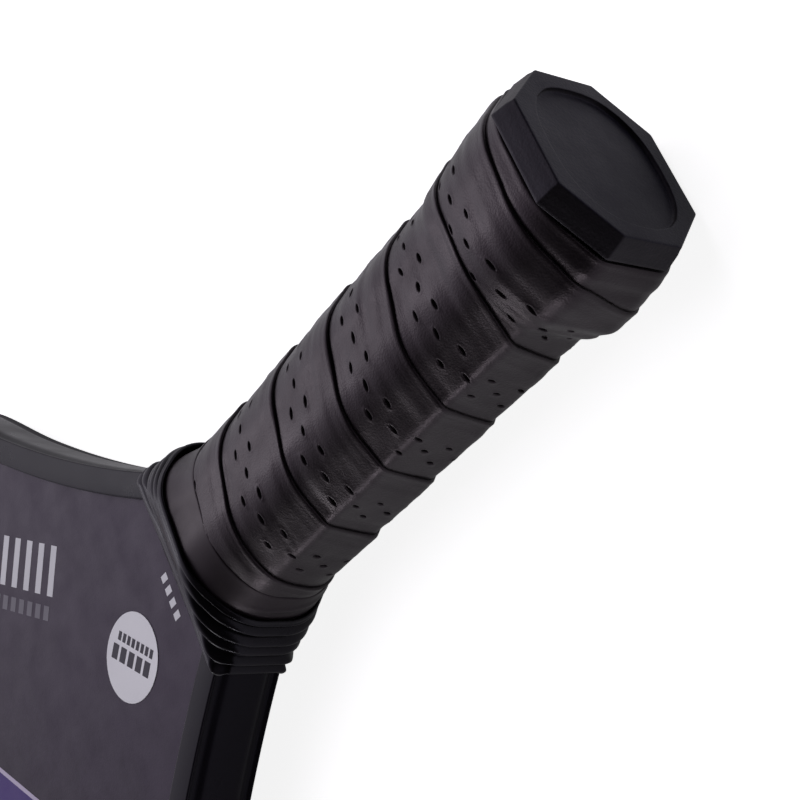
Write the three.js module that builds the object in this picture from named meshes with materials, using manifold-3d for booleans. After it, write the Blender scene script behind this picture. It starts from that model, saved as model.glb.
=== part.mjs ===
// Pickleball paddle: honeycomb panel with laminated faces, edge guard, two handle pallets, butt cap,
// spiral grip wrap, rubber collar. Millimetres, +Z up out of the front face, +Y from butt to head.
// The pieces are laid out with Y = 0 at the butt end and Z = 0 on the panel's mid-plane; the last
// group moves that to the centre of the paddle's footprint, with the lowest point at Z = 0.

import * as THREE from 'three';
import { mergeVertices } from 'three/addons/utils/BufferGeometryUtils.js';
import Module from 'manifold-3d';

const wasm = await Module();
wasm.setup();

// ---- driving dimensions ----
const PADDLE_LENGTH = 400;      // butt end to the crown of the edge guard
const HEAD_WIDTH = 200;         // across the edge guard
const HEIGHT_BELOW_MID = 18.05; // the wrap's fullest point, over the cap skirt

// panel, from the middle outwards
const CORE_THICKNESS = 12.2;
const SCRIM_THICKNESS = 0.15;
const FACE_THICKNESS = 0.55;
const BOND_LINE = 0.05;         // glue film between two layers
const TONGUE_HALF_WIDTH = 12.5;
const TONGUE_START = 6;         // from the butt end
const CELL_PITCH = 24;          // honeycomb cells, across flats with one wall
const CELL_WALL = 1.8;
const PANEL_RIM = 2.5;          // solid band left round the cells

// edge guard, a U channel round the panel
const GUARD_WEB = 1.4;
const GUARD_LIP_OVERLAP = 3.4;
const GUARD_HALF_THICKNESS = 8.1;
const GUARD_GAP = 0.3;          // round the panel's edge, filled by the tape
const GUARD_START = 121.5;
const TAPE_THICKNESS = 0.15;
const TAPE_HALF_WIDTH = 5;

// handle sections are octagons: half width, half height, half of the top flat, half of the side flat
const GRIP_OUTER = { a: 17.2, b: 15.44, f: 8.8, s: 7.18 };
const PALLET = { a: 15.2, b: 13.4, f: 8.0, s: 6.4 };
const PALLET_START = 3.2;
const PALLET_END = 118;
const PALLET_RAMP_START = 107.5;
const PALLET_RAMP_END_HEIGHT = 8.6;
const PALLET_SPLIT = 0.15;      // half the seam between the two pallets

const CAP_END = { a: 18.0, b: 16.74, f: 8.94, s: 6.87 };
const CAP_FLARE = 0.95;         // growth from the end face to the wrap's edge
const CAP_RIM = 4.8;            // length of the bare cap
const CAP_PLATE = 3.0;          // thickness of its end
const SKIRT_END = 22;
const RECESS = { halfWidth: 14.9, halfHeight: 13.5, power: 2.4, depth: 0.9 };

const WRAP_THICKNESS = 1.75;
const WRAP_START = 5.0;
const WRAP_END = 113;

const FINISH_START = 104.3;     // the finishing tape shows between the last turn and the collar
const FINISH_END = 112.8;

const COLLAR_START = 111.2;
const COLLAR_END = 127.4;

const STICKER_RADIUS = 9.4;
const STICKER_CENTRE = [-5.8, 149.6];
const STICKER_THICKNESS = 0.1;

// worked out from the above
const SCRIM_BASE = CORE_THICKNESS / 2 + BOND_LINE;
const FACE_BASE = SCRIM_BASE + SCRIM_THICKNESS + BOND_LINE;
const PANEL_HALF = FACE_BASE + FACE_THICKNESS;
const PANEL_HALF_WIDTH = HEAD_WIDTH / 2 - GUARD_WEB - GUARD_GAP;
const PANEL_TOP = PADDLE_LENGTH - GUARD_WEB - GUARD_GAP;

// ---- solids ----
function solid(geometry) {
  const bare = geometry.clone();
  bare.deleteAttribute('normal');
  bare.deleteAttribute('uv');
  const merged = mergeVertices(bare, 1e-4);
  return new wasm.Manifold(new wasm.Mesh({
    numProp: 3,
    vertProperties: new Float32Array(merged.attributes.position.array),
    triVerts: new Uint32Array(merged.index.array),
  }));
}

function geometryOf(manifold) {
  const mesh = manifold.getMesh();
  const geometry = new THREE.BufferGeometry();
  const positions = new Float32Array(mesh.numVert * 3);
  for (let i = 0; i < mesh.numVert; i++) {
    for (let k = 0; k < 3; k++) positions[3 * i + k] = mesh.vertProperties[mesh.numProp * i + k];
  }
  geometry.setAttribute('position', new THREE.BufferAttribute(positions, 3));
  geometry.setIndex(new THREE.BufferAttribute(new Uint32Array(mesh.triVerts), 1));
  geometry.computeVertexNormals();
  return geometry;
}

// A slab of a plane outline between two heights.
function slab(points, low, high, holes = []) {
  const shape = new THREE.Shape(points);
  holes.forEach((hole) => shape.holes.push(new THREE.Path(hole)));
  const geometry = new THREE.ExtrudeGeometry(shape, { depth: high - low, bevelEnabled: false });
  geometry.translate(0, 0, low);
  return geometry;
}

function block(x0, x1, y0, y1, z0, z1) {
  const geometry = new THREE.BoxGeometry(x1 - x0, y1 - y0, z1 - z0);
  geometry.translate((x0 + x1) / 2, (y0 + y1) / 2, (z0 + z1) / 2);
  return geometry;
}

// The eight corners of a handle section, in order round the Y axis.
function octagon({ a, b, f, s }) {
  return [[a, -s], [a, s], [f, b], [-f, b], [-a, s], [-a, -s], [-f, -b], [f, -b]];
}

function grown(section, by) {
  const corner = by * Math.tan(Math.PI / 8);
  return { a: section.a + by, b: section.b + by, f: section.f + corner, s: section.s + corner };
}

// A closed skin through octagons at stations along Y: [[y, section], ...].
function loft(stations) {
  const positions = [];
  const index = [];
  stations.forEach(([y, section]) => octagon(section).forEach(([x, z]) => positions.push(x, y, z)));
  const sides = 8;
  for (let k = 0; k + 1 < stations.length; k++) {
    for (let i = 0; i < sides; i++) {
      const p = k * sides + i;
      const q = k * sides + ((i + 1) % sides);
      index.push(p, q, q + sides, p, q + sides, p + sides);
    }
  }
  const last = (stations.length - 1) * sides;
  for (let i = 1; i + 1 < sides; i++) {
    index.push(0, i + 1, i);
    index.push(last, last + i, last + i + 1);
  }
  const geometry = new THREE.BufferGeometry();
  geometry.setAttribute('position', new THREE.Float32BufferAttribute(positions, 3));
  geometry.setIndex(index.reverse());
  return geometry;
}

// ---- the panel's outline ----
// One side, from the tongue's end to the crown: straight tongue, throat, shoulder, side and top corner.
function rightSide() {
  const path = new THREE.Path();
  const w = PANEL_HALF_WIDTH;
  path.moveTo(TONGUE_HALF_WIDTH, TONGUE_START);
  path.lineTo(TONGUE_HALF_WIDTH, 108);
  path.bezierCurveTo(12.5, 113, 15.8, 116.6, 19.1, 121.2);
  path.bezierCurveTo(32.3, 140, 47.8, 157.1, 64.6, 172.8);
  path.bezierCurveTo(82, 189, w, 196, w, 222);
  path.lineTo(w, 335);
  path.bezierCurveTo(w, 376, 76, PANEL_TOP - 4, 48, PANEL_TOP - 1.4);
  path.bezierCurveTo(32, PANEL_TOP, 16, PANEL_TOP, 0, PANEL_TOP);
  return path.getPoints(12);
}

function mirrored(side) {
  const left = side.slice(0, -1).reverse().map((p) => new THREE.Vector2(-p.x, p.y));
  return [...side, ...left];
}

// The outline moved outwards, or inwards where the distance is negative.
function offset(points, distance) {
  return points.map((p, i) => {
    const before = points[(i + points.length - 1) % points.length];
    const after = points[(i + 1) % points.length];
    const inward = new THREE.Vector2().subVectors(p, before).normalize();
    const outward = new THREE.Vector2().subVectors(after, p).normalize();
    const normal = new THREE.Vector2(inward.y + outward.y, -(inward.x + outward.x)).normalize();
    const stretch = 1 / Math.max(0.6, normal.x * outward.y - normal.y * outward.x);
    return p.clone().addScaledVector(normal, distance * stretch);
  });
}

function inside(point, outline) {
  let odd = false;
  for (let i = 0, j = outline.length - 1; i < outline.length; j = i++) {
    const [p, q] = [outline[i], outline[j]];
    const crosses = (p.y > point.y) !== (q.y > point.y);
    if (crosses && point.x < ((q.x - p.x) * (point.y - p.y)) / (q.y - p.y) + p.x) odd = !odd;
  }
  return odd;
}

const OUTLINE = mirrored(rightSide());

// ---- panel ----
function honeycombCells() {
  const room = offset(OUTLINE, -PANEL_RIM);
  const radius = (CELL_PITCH - CELL_WALL) / Math.sqrt(3);
  const rowStep = CELL_PITCH * Math.sqrt(3) / 2;
  const cells = [];
  for (let row = 0; row * rowStep < PANEL_TOP; row++) {
    for (let column = -5; column <= 5; column++) {
      const x = (column + (row % 2) / 2) * CELL_PITCH;
      const y = 20 + row * rowStep;
      const corners = Array.from({ length: 6 }, (_, k) => {
        const angle = Math.PI / 6 + (k * Math.PI) / 3;
        return new THREE.Vector2(x + radius * Math.cos(angle), y + radius * Math.sin(angle));
      });
      if (corners.every((corner) => inside(corner, room))) cells.push(corners.reverse());
    }
  }
  return cells;
}

function core() {
  return slab(OUTLINE, -CORE_THICKNESS / 2, CORE_THICKNESS / 2, honeycombCells());
}

function layer(base, thickness, side) {
  const [near, far] = [side * base, side * (base + thickness)];
  return slab(OUTLINE, Math.min(near, far), Math.max(near, far));
}

// ---- edge guard and its tape ----
function headOnly(manifold) {
  return manifold.subtract(solid(block(-60, 60, -10, GUARD_START, -20, 20)));
}

function edgeGuard() {
  const outer = slab(offset(OUTLINE, GUARD_GAP + GUARD_WEB), -GUARD_HALF_THICKNESS, GUARD_HALF_THICKNESS);
  const channel = slab(offset(OUTLINE, GUARD_GAP), -PANEL_HALF - 0.1, PANEL_HALF + 0.1);
  const opening = slab(offset(OUTLINE, -GUARD_LIP_OVERLAP), -20, 20);
  return geometryOf(headOnly(solid(outer).subtract(solid(channel)).subtract(solid(opening))));
}

function edgeTape() {
  const outer = slab(offset(OUTLINE, 0.08 + TAPE_THICKNESS), -TAPE_HALF_WIDTH, TAPE_HALF_WIDTH);
  const inner = slab(offset(OUTLINE, 0.08), -20, 20);
  return geometryOf(headOnly(solid(outer).subtract(solid(inner))));
}

// ---- handle ----
const STAPLE = { y: 13, halfSpan: 3.4, wire: 0.6, crownOut: 16.5, crownIn: 15.95, legEnd: 13.0 };

// One staple across the seam of the pallets, on the side given by sign; slack widens it for its hole.
function staple(sign, slack) {
  const half = STAPLE.wire / 2 + slack;
  const reach = STAPLE.halfSpan + STAPLE.wire / 2 + slack;
  const along = (from, to) => [Math.min(sign * from, sign * to), Math.max(sign * from, sign * to)];
  const [cx0, cx1] = along(STAPLE.crownIn - slack, STAPLE.crownOut + slack);
  const [lx0, lx1] = along(STAPLE.legEnd - slack, STAPLE.crownOut);
  const y0 = STAPLE.y - half;
  const y1 = STAPLE.y + half;
  let body = solid(block(cx0, cx1, y0, y1, -reach, reach));
  for (const side of [-1, 1]) {
    const z = side * STAPLE.halfSpan;
    body = body.add(solid(block(lx0, lx1, y0, y1, z - half, z + half)));
  }
  return body;
}

function withoutStaples(manifold) {
  return [-1, 1].reduce((left, sign) => left.subtract(staple(sign, 0.15)), manifold);
}

function pallet(side) {
  const bar = solid(loft([[PALLET_START, PALLET], [PALLET_END, PALLET]]));
  const [z0, z1] = side > 0 ? [PALLET_SPLIT, 30] : [-30, -PALLET_SPLIT];
  const half = bar.intersect(solid(block(-30, 30, 0, 200, z0, z1)));
  const panel = slab(offset(OUTLINE, 0.2), -PANEL_HALF - 0.1, PANEL_HALF + 0.1);
  const ramp = new THREE.ExtrudeGeometry(new THREE.Shape([
    new THREE.Vector2(PALLET_RAMP_START, PALLET.b),
    new THREE.Vector2(PALLET_END, PALLET_RAMP_END_HEIGHT),
    new THREE.Vector2(PALLET_END + 5, PALLET_RAMP_END_HEIGHT),
    new THREE.Vector2(PALLET_END + 5, PALLET.b + 5),
    new THREE.Vector2(PALLET_RAMP_START, PALLET.b + 5),
  ]), { depth: 60, bevelEnabled: false });
  // the ramp's outline is drawn as (y, z): turn it so that its depth runs along X
  ramp.translate(0, 0, -30);
  ramp.applyMatrix4(new THREE.Matrix4().makeBasis(
    new THREE.Vector3(0, 1, 0), new THREE.Vector3(0, 0, 1), new THREE.Vector3(1, 0, 0)));
  const wedge = solid(side > 0 ? ramp : ramp.clone().rotateY(Math.PI));
  return geometryOf(withoutStaples(half.subtract(solid(panel)).subtract(wedge)));
}

function superellipse(halfWidth, halfHeight, power, count = 40) {
  return Array.from({ length: count }, (_, i) => {
    const angle = (2 * Math.PI * i) / count;
    const [c, s] = [Math.cos(angle), Math.sin(angle)];
    const x = halfWidth * Math.sign(c) * Math.abs(c) ** (2 / power);
    const z = halfHeight * Math.sign(s) * Math.abs(s) ** (2 / power);
    return new THREE.Vector2(x, z);
  });
}

const skirt = { foot: grown(PALLET, 1.55), tip: grown(PALLET, 0.8) };

function buttCap() {
  const outer = loft([
    [0, grown(CAP_END, -0.3)],
    [0.35, CAP_END],
    [CAP_RIM, grown(CAP_END, CAP_FLARE)],
    [CAP_RIM + 0.01, skirt.foot],
    [SKIRT_END, skirt.tip],
  ]);
  const cavity = loft([[CAP_PLATE, grown(PALLET, 0.2)], [SKIRT_END + 1, grown(PALLET, 0.2)]]);
  const recess = slab(superellipse(RECESS.halfWidth, RECESS.halfHeight, RECESS.power), -RECESS.depth, 2);
  recess.rotateX(Math.PI / 2);
  return geometryOf(withoutStaples(solid(outer).subtract(solid(cavity)).subtract(solid(recess))));
}

// Growth of the wrap over the cap's skirt, by distance from the butt end.
const WRAP_SWELL = [[5, 1.55], [9, 2.2], [14, 2.6], [20, 2.3], [24, 1.2], [28, 0.3], [32, 0], [WRAP_END, 0]];

function gripWrap() {
  const outer = loft(WRAP_SWELL.map(([y, by]) => [y, grown(GRIP_OUTER, by)]));
  const bore = loft([
    [WRAP_START - 1, grown(skirt.foot, 0.3)],
    [WRAP_START, grown(skirt.foot, 0.3)],
    [SKIRT_END, grown(skirt.tip, 0.3)],
    [SKIRT_END + 2, grown(GRIP_OUTER, -WRAP_THICKNESS)],
    [WRAP_END + 1, grown(GRIP_OUTER, -WRAP_THICKNESS)],
  ]);
  return geometryOf(solid(outer).subtract(solid(bore)));
}

function band(from, to, low, high) {
  const shell = solid(loft([[from, high], [to, high]]));
  return geometryOf(shell.subtract(solid(loft([[from - 1, low], [to + 1, low]]))));
}

function collar() {
  const outer = loft([
    [COLLAR_START, { a: 20.0, b: 17.35, f: 10.3, s: 8.55 }],
    [112.5, { a: 20.2, b: 17.3, f: 10.4, s: 8.6 }],
    [118, { a: 22.6, b: 15.0, f: 14.0, s: 9.3 }],
    [121.2, { a: 24.2, b: 12.4, f: 21.0, s: 9.9 }],
    [COLLAR_END, { a: 27.3, b: 9.9, f: 26.3, s: 9.1 }],
  ]);
  const bore = loft([
    [COLLAR_START - 1, { a: 18.0, b: 16.15, f: 9.2, s: 7.6 }],
    [112.5, { a: 18.1, b: 16.2, f: 9.3, s: 7.7 }],
    [118, { a: 19.4, b: 13.5, f: 13.0, s: 8.2 }],
    [121.2, { a: 22.0, b: 10.8, f: 20.6, s: 8.6 }],
    [COLLAR_END + 0.01, { a: 26.1, b: 8.7, f: 25.6, s: 8.4 }],
    [COLLAR_END + 1, { a: 26.1, b: 8.7, f: 25.6, s: 8.4 }],
  ]);
  return geometryOf(solid(outer).subtract(solid(bore)));
}

function sticker() {
  const disc = new THREE.CylinderGeometry(STICKER_RADIUS, STICKER_RADIUS, STICKER_THICKNESS, 48);
  disc.rotateX(Math.PI / 2);
  disc.translate(STICKER_CENTRE[0], STICKER_CENTRE[1], PANEL_HALF + 0.02 + STICKER_THICKNESS / 2);
  return disc;
}

// ---- materials ----
function material(colour, roughness, metalness = 0) {
  return new THREE.MeshStandardMaterial({ color: colour, roughness, metalness });
}
const MATERIALS = {
  honeycomb: material(0xd9dcd8, 0.6),
  scrim: material(0xc9cbc4, 0.8),
  laminate: material(0x463e4a, 0.55),
  guard: material(0x1b1a20, 0.35),
  tape: material(0xe6e3da, 0.7),
  foam: material(0x3a3d42, 0.75),
  cap: material(0x24222b, 0.5),
  steel: material(0x9fa2a6, 0.35, 1),
  wrap: material(0x221f25, 0.6),
  rubber: material(0x17161b, 0.35),
  label: material(0xf2f2ef, 0.5),
};

// ---- assembly ----
const paddle = new THREE.Group();

function add(name, geometry, look) {
  const mesh = new THREE.Mesh(geometry, MATERIALS[look].clone());
  mesh.name = name;
  paddle.add(mesh);
}

add('honeycomb_core', core(), 'honeycomb');
add('front_bonding_scrim', layer(SCRIM_BASE, SCRIM_THICKNESS, 1), 'scrim');
add('rear_bonding_scrim', layer(SCRIM_BASE, SCRIM_THICKNESS, -1), 'scrim');
add('front_face_sheet', layer(FACE_BASE, FACE_THICKNESS, 1), 'laminate');
add('rear_face_sheet', layer(FACE_BASE, FACE_THICKNESS, -1), 'laminate');
add('edge_guard_tape', edgeTape(), 'tape');
add('edge_guard', edgeGuard(), 'guard');
add('front_handle_pallet', pallet(1), 'foam');
add('rear_handle_pallet', pallet(-1), 'foam');
add('butt_cap', buttCap(), 'cap');
add('cap_staple_right', geometryOf(staple(1, 0)), 'steel');
add('cap_staple_left', geometryOf(staple(-1, 0)), 'steel');
add('handle_tape', band(24.8, 110, grown(PALLET, 0.06), grown(PALLET, 0.16)), 'tape');
add('grip_wrap', gripWrap(), 'wrap');
add('finishing_tape', band(FINISH_START, FINISH_END, grown(GRIP_OUTER, 0.05), grown(GRIP_OUTER, 0.3)), 'tape');
add('rubber_collar', collar(), 'rubber');
add('face_sticker', sticker(), 'label');

paddle.position.set(0, -PADDLE_LENGTH / 2, HEIGHT_BELOW_MID);

const part = new THREE.Group();
part.add(paddle);

export default part;
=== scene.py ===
"""Pickleball paddle, close view from the butt end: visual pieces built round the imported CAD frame.

Sizes are millimetres in the paddle's own layout: x across, y from the butt end, z from the panel's
mid-plane. place() turns them into metres in the row frame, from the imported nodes' boxes.
"""

import math

import bmesh
import bpy
from mathutils import Matrix, Vector


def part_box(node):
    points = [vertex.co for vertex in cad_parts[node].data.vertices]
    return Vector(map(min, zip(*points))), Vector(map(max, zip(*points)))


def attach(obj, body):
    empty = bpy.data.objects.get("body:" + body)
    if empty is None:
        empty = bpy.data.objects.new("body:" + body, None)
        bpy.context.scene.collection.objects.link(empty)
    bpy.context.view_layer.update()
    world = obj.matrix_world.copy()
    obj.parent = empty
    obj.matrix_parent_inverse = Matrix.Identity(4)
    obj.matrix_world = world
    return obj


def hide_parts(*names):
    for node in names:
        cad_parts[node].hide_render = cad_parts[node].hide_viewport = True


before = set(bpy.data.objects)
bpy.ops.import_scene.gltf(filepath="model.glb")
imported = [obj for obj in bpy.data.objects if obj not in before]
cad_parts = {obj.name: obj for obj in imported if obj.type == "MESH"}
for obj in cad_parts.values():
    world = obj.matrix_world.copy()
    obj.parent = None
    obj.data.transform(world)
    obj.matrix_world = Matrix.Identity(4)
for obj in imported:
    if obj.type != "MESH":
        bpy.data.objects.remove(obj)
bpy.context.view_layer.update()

MM = 0.001
BUTT_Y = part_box("butt_cap")[0].y
MID_Z = (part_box("edge_guard")[0].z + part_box("edge_guard")[1].z) / 2
FACE_Z = (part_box("front_face_sheet")[1].z - MID_Z) / MM
GUARD_Z = (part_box("edge_guard")[1].z - MID_Z) / MM
HALF_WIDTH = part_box("edge_guard")[1].x / MM
LENGTH = (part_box("edge_guard")[1].y - BUTT_Y) / MM
PANEL_HALF_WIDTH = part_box("front_face_sheet")[1].x / MM
PANEL_TOP = (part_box("front_face_sheet")[1].y - BUTT_Y) / MM
STICKER_LIFT = (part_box("face_sticker")[1].z - MID_Z) / MM - FACE_Z


def place(x, y, z):
    return Vector((x * MM, BUTT_Y + y * MM, MID_Z + z * MM))


# ------------------------------ small maths

def smooth(low, high, value):
    t = min(1.0, max(0.0, (value - low) / (high - low)))
    return t * t * (3 - 2 * t)


def through(points, value):
    """A line through (position, height) points that is level at each, and flat beyond its ends."""
    if value <= points[0][0]:
        return points[0][1]
    for (x0, y0), (x1, y1) in zip(points, points[1:]):
        if value <= x1:
            return y0 + (y1 - y0) * smooth(x0, x1, value)
    return points[-1][1]


def curve_through(points, value):
    """A flowing line through (position, height) points: its slope at each comes from the two beside it."""
    for k in range(len(points) - 1):
        (x1, y1), (x2, y2) = points[k:k + 2]
        if value <= x2:
            x0, y0 = points[max(0, k - 1)]
            x3, y3 = points[min(len(points) - 1, k + 2)]
            span = x2 - x1
            slope_1 = (y2 - y0) / (x2 - x0) * span
            slope_2 = (y3 - y1) / (x3 - x1) * span
            u = (value - x1) / span
            return (y1 * (2 * u ** 3 - 3 * u * u + 1) + slope_1 * (u ** 3 - 2 * u * u + u)
                    + y2 * (3 * u * u - 2 * u ** 3) + slope_2 * (u ** 3 - u * u))
    return points[-1][1]


def bump_at(value, centre, width):
    return math.exp(-((value - centre) / width) ** 2)


def wave(turns):
    """A sine that repeats once in a turn."""
    return math.sin(2 * math.pi * turns)


# ------------------------------ mesh making

MERGE_WITHIN = 1e-7  # metres


def make_piece(name, points, faces, material, slot, replaces=()):
    """A smooth-shaded mesh piece from millimetre points, riding on the paddle's one body."""
    mesh = bpy.data.meshes.new(name)
    mesh.from_pydata([place(*p) for p in points], [], faces)
    mesh.validate()
    bm = bmesh.new()
    bm.from_mesh(mesh)
    bmesh.ops.remove_doubles(bm, verts=bm.verts, dist=MERGE_WITHIN)
    bmesh.ops.recalc_face_normals(bm, faces=bm.faces)
    bm.to_mesh(mesh)
    bm.free()
    mesh.polygons.foreach_set("use_smooth", [True] * len(mesh.polygons))
    piece = bpy.data.objects.new(name, mesh)
    bpy.context.scene.collection.objects.link(piece)
    mesh.materials.append(material)
    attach(piece, "root")
    for node in replaces:
        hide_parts(node)
    return piece


def sharpen(piece, degrees):
    """Edges bent by more than this stay crisp."""
    piece.data.set_sharp_from_angle(angle=math.radians(degrees))


def skin(rings, capped=False):
    """Points and faces of a surface through closed rings of equally many points."""
    count = len(rings[0])
    points = [p for ring in rings for p in ring]
    faces = []
    for k in range(len(rings) - 1):
        for i in range(count):
            j = (i + 1) % count
            faces.append((k * count + i, k * count + j, (k + 1) * count + j, (k + 1) * count + i))
    if capped:
        faces.append(tuple(range(count))[::-1])
        faces.append(tuple((len(rings) - 1) * count + i for i in range(count)))
    return points, faces


# ------------------------------ octagonal sections

# Half sizes of an octagon: a across, b up and down, f along its top flat, s along its side flat.
GRIP = dict(a=17.25, b=15.6, f=8.9, s=7.18)
SIDE_GROWTH = math.tan(math.pi / 8)  # of half a side, when all the sides move out by 1
FLAT_CROWDING = 0.12  # draws a flat's points in towards its ends


def grown(size, growth):
    """The octagon's sizes with every side moved out by the same amount."""
    t = SIDE_GROWTH * growth
    return dict(a=size["a"] + growth, b=size["b"] + growth, f=size["f"] + t, s=size["s"] + t)


def corner_radii(over, side):
    """Radii of the corners next to the top and bottom flats, and of those next to the side flats."""
    return [over, side, side, over, over, side, side, over]


def octagon_corners(a, b, f, s):
    """From the top flat's middle towards -X and round."""
    return [(-f, b), (-a, s), (-a, -s), (-f, -b), (f, -b), (a, -s), (a, s), (f, b)]


def rounded_outline(corners, radii, per_corner, per_flat):
    """(x, z, normal x, normal z) round a convex outline; the radii go corner by corner."""
    count = len(corners)
    out = []
    for i, radius in enumerate(radii):
        before, here, after, beyond = (Vector(corners[(i + k) % count]) for k in (-1, 0, 1, 2))
        coming = (here - before).normalized()
        going = (after - here).normalized()
        turning = (beyond - after).normalized()
        normal_in = Vector((-coming.y, coming.x))
        normal_out = Vector((-going.y, going.x))
        if normal_in.dot(here) < 0:
            normal_in, normal_out = -normal_in, -normal_out
        cut = radius * math.tan(normal_in.angle(normal_out) / 2)
        centre = here - coming * cut - normal_in * radius
        for k in range(per_corner + 1):
            part = k / per_corner
            normal = (normal_in * (1 - part) + normal_out * part).normalized()
            out.append((*(centre + normal * radius), *normal))
        next_cut = radii[(i + 1) % count] * math.tan(going.angle(turning) / 2)
        start = here + going * cut
        end = after - going * next_cut
        for k in range(1, per_flat):
            part = k / per_flat
            out.append((*start.lerp(end, part - FLAT_CROWDING * wave(part)), *normal_out))
    return out


class Section:
    """The grip's outline by distance round it, starting at the middle of the top flat, towards -X."""

    def __init__(self, corners, radii):
        ring = rounded_outline(corners, radii, per_corner=12, per_flat=8)
        on_top = [i for i, point in enumerate(ring) if point[1] > 0]
        start = min(on_top, key=lambda i: abs(ring[i][0]))
        ring = ring[start:] + ring[:start]
        ring.append(ring[0])
        self.ring = ring
        self.at = [0.0]
        for p, q in zip(ring, ring[1:]):
            self.at.append(self.at[-1] + math.hypot(q[0] - p[0], q[1] - p[1]))
        self.length = self.at[-1]

    def point(self, turn):
        """x, z and the outward normal at a fraction of the way round."""
        want = (turn % 1.0) * self.length
        low, high = 0, len(self.at) - 1
        while high - low > 1:
            middle = (low + high) // 2
            if self.at[middle] <= want:
                low = middle
            else:
                high = middle
        t = (want - self.at[low]) / (self.at[high] - self.at[low])
        p, q = self.ring[low], self.ring[high]
        n = Vector((p[2] + (q[2] - p[2]) * t, p[3] + (q[3] - p[3]) * t)).normalized()
        return p[0] + (q[0] - p[0]) * t, p[1] + (q[1] - p[1]) * t, n.x, n.y


grip_section = Section(octagon_corners(**GRIP), corner_radii(over=13.0, side=3.4))
soft_section = Section(octagon_corners(**GRIP), corner_radii(over=14.0, side=14.0))

# How far the wrap stands out over the cap's skirt, as (y, height): fuller round the -X -Z corner.
SWELL_FULL = [(4.8, 1.9), (9, 2.7), (14, 3.25), (19, 3.2), (22.5, 1.8), (25.5, 0.25), (32, 0.15), (60, 0.0)]
SWELL_SLIM = [(4.8, 1.6), (9, 2.1), (15, 2.0), (19, 1.65), (25, 0.9), (31, -0.2), (40, -0.1), (60, 0.0)]
FULL_SIDE = 0.31  # the fuller corner, as a fraction of the way round
FULL_FALLOFF = 1.6
SOFT_FROM, SOFT_TO = 84, 110  # the grip's corners soften along this stretch
SOFT_GROWTH = 0.9  # and it thickens by this much


def swell(turn, y):
    full = (0.5 + 0.5 * math.cos(2 * math.pi * (turn - FULL_SIDE))) ** FULL_FALLOFF
    return through(SWELL_FULL, y) * full + through(SWELL_SLIM, y) * (1 - full)


def on_grip(turn, y, lift):
    """A point above the grip, whose corners are softer the nearer it is to the collar."""
    soft = smooth(SOFT_FROM, SOFT_TO, y)
    crisp_point, soft_point = grip_section.point(turn), soft_section.point(turn)
    x, z, nx, nz = (a + (b - a) * soft for a, b in zip(crisp_point, soft_point))
    out = swell(turn, y) + lift + SOFT_GROWTH * soft
    return (x + nx * out, y, z + nz * out)


# ------------------------------ grip wrap

PITCH = 18.15  # advance of one turn of the strip
FOURTH_TURN = 42.0  # where the strip's leading edge lies after four turns, without its slant
SLANT, SLANT_FROM = 1.9, 0.07  # the edge runs ahead and behind by this much in each turn
WRAP_EDGE = 5.3  # the wrap's first edge, just clear of the cap
FREE_TURN = 3.2  # from this turn on the strip winds evenly
# where the strip's leading edge runs over the cap's skirt, as (turn, distance from the butt)
SKIRT_PATH = [(1.45, WRAP_EDGE), (1.6, 5.5), (1.78, 6.5), (1.9, 8.0), (2.0, 8.9), (2.1, 10.0), (2.19, 11.1),
              (2.3, 13.9), (2.5, 16.6), (2.7, 20.2), (2.85, 22.6), (3.0, 23.1), (3.08, 24.1), (3.14, 26.2),
              (FREE_TURN, 28.8)]
STRIP_FROM, STRIP_TO = 0.35, 7.5  # turns from the strip's start to its end
STRIP_WIDTH = 19.6
UNDERLAP = 1.4  # least reach of a turn under the next one
STRIP_END = 114.5  # the last turn is trimmed square, inside the collar
TAPE_START = 104.2

# the strip's section
UNDERSIDE = -1.7
EDGE_LIFT = 0.06  # height of the top at the leading edge
LAP_DROP = 0.66  # fall of a lap's surface from its edge to the next lap's
LAP_CURVE = 1.15
LEAST_LAP = 3.0  # least width that shows between two leading edges
TUCK = 0.1  # the surface dips by this much right at the next lap
HIDDEN_SLOPE = 0.22  # and goes on down under it
TAPED_DROP = 0.5  # the last turn lies lower where the finishing tape covers it
BORDER = 3.3  # width of the thinned border along the leading edge
BORDER_WAVES = [(0.5, 4.1), (0.3, 11.0)]  # how that width wanders: amount, rate along the strip
PAD_RISE = 0.1  # from the border to the full pad
CREASE_AT, CREASE_WIDTH, CREASE_DEPTH = 1.35, 0.3, 0.025
# round the thick leading edge from underneath, as (across, height)
STRIP_EDGE = [(0.9, UNDERSIDE), (0.55, -1.1), (0.16, -0.86), (0.0, -0.66), (-0.07, -0.42), (-0.03, -0.2),
              (0.1, -0.05), (0.32, 0.04)]
# slack ripples along the strip: depth, distance from the edge, how far and how fast that wanders, width
RIPPLES = [(0.16, 6.0, 0.9, 1.3, 1.1), (0.05, 7.6, 0.5, 2.1, 0.6), (0.12, 16.0, 0.6, 1.7, 1.0)]
RIPPLE_WANDER, RIPPLE_FADE, RIPPLE_OFFSET = 2.9, 5.3, 40
# shallow dents, each the product of two waves: depth, then each wave's rates along and across
DENTS = [(0.07, (23.0, 0.45), (9.1, 0.2)), (0.05, (41.0, -0.6), (5.0, 0.5))]

# the slots in the strip
HOLES_PER_TURN = 12.32
HOLE_PHASE = 0.43
HOLE_ROWS = (8.7, 11.1, 13.5)
ROW_SKEW = 0.2  # a row's holes lag the last row's, because the strip lies at an angle
HOLE_LENGTH, HOLE_WIDTH = 2.1, 0.66
HOLE_BLUNTNESS = 0.55  # 1 would be an ellipse, and less has pointed ends
HOLE_TILT = 0.12
LENGTH_SPREAD, WIDTH_SPREAD = 0.14, 0.2
ALONG_SPREAD, ACROSS_SPREAD = 0.18, 0.12
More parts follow.
